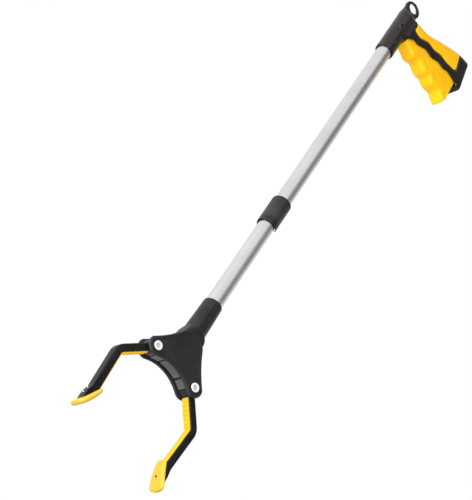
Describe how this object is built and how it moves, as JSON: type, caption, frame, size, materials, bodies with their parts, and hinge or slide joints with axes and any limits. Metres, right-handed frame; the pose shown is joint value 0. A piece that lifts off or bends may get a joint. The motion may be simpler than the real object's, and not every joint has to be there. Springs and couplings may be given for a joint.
{
  "type": "reacher grabber",
  "caption": "Folding reacher grabber: pistol grip with trigger, aluminium tube with folding joint and locking collar, hinged jaws with soft tips.",
  "frame": {"origin": "centre of the hanging eye at the end of the handle", "axes": "the tube lies along X with the jaws toward -X, the grip hangs toward -Z, and Y goes across, along the eye's axis"},
  "size_m": [0.8084, 0.028, 0.1806],
  "materials": {
    "black_plastic": "fine moulded grain",
    "yellow_grip": "soft-touch overmould",
    "yellow_rubber": "ribbed soft rubber",
    "anodised_tube": "satin anodised",
    "steel": "plain drawn",
    "bright_steel": "bright nickel"
  },
  "bodies": {
    "handle": {"handle_shell_left": "black_plastic", "handle_shell_right": "black_plastic", "rear_grip_pad": "yellow_grip", "shell_screws": "steel", "upper_tube": "anodised_tube", "tube_rivet": "steel", "trigger_pivot_pin": "steel", "trigger_spring": "steel", "upper_hinge_block": "black_plastic", "hinge_pin": "steel"},
    "trigger": {"trigger": "yellow_grip"},
    "pull_cable": {"cable_nipple": "steel", "cable_upper": "steel"},
    "collar": {"lock_collar": "black_plastic"},
    "lower_section": {"lower_hinge_block": "black_plastic", "lower_tube": "anodised_tube", "socket_pin": "steel", "head_shell_left": "black_plastic", "head_shell_right": "black_plastic", "head_bridge": "black_plastic", "jaw_rivets": "bright_steel", "return_spring": "steel"},
    "yoke": {"yoke": "black_plastic", "yoke_pins": "steel", "cable_lower": "steel"},
    "upper_jaw": {"upper_jaw_arm": "black_plastic", "upper_jaw_liner": "yellow_rubber", "upper_tip_pad": "yellow_rubber", "upper_tip_pins": "steel"},
    "lower_jaw": {"lower_jaw_arm": "black_plastic", "lower_jaw_liner": "yellow_rubber", "lower_tip_pad": "yellow_rubber", "lower_tip_pins": "steel", "lower_tip_magnet": "bright_steel"}
  },
  "joints": [
    {"name": "trigger_squeeze", "type": "hinge", "parent": "handle", "child": "trigger", "pos_m": [-0.054, 0, 0.0034], "axis": [0, -1, 0], "range_deg": [0, 18], "stiffness_Nm_per_rad": 0.3, "springref_deg": -17.19, "deforming": ["trigger_spring"]},
    {"name": "cable_pull", "type": "slide", "parent": "handle", "child": "pull_cable", "axis": [1, 0, 0], "range_m": [0, 0.00323]},
    {"name": "fold", "type": "hinge", "parent": "handle", "child": "lower_section", "pos_m": [-0.4355, 0, -0.0102], "axis": [0, -1, 0], "range_deg": [0, 165], "stiffness_Nm_per_rad": 0.6, "springref_deg": -85.94},
    {"name": "collar_slide", "type": "slide", "parent": "handle", "child": "collar", "axis": [1, 0, 0], "range_m": [0, 0.0166]},
    {"name": "yoke_pull", "type": "slide", "parent": "lower_section", "child": "yoke", "axis": [1, 0, 0], "range_m": [0, 0.00323], "deforming": ["return_spring"]},
    {"name": "upper_jaw_close", "type": "hinge", "parent": "lower_section", "child": "upper_jaw", "pos_m": [-0.6755, 0, 0.031], "axis": [0, -1, 0], "range_deg": [0, 30.1]},
    {"name": "lower_jaw_close", "type": "hinge", "parent": "lower_section", "child": "lower_jaw", "pos_m": [-0.6755, 0, -0.031], "axis": [0, 1, 0], "range_deg": [0, 30.1]}
  ],
  "couplings": [
    {"joint": "cable_pull", "follows": "trigger_squeeze", "m_per_rad": 0.0099589},
    {"joint": "yoke_pull", "follows": "trigger_squeeze", "m_per_rad": 0.0099589},
    {"joint": "upper_jaw_close", "follows": "trigger_squeeze", "ratio": 1.6667},
    {"joint": "lower_jaw_close", "follows": "trigger_squeeze", "ratio": 1.6667},
    {"joint": "collar_slide", "follows": "fold", "m_per_rad": 0.0057296}
  ]
}
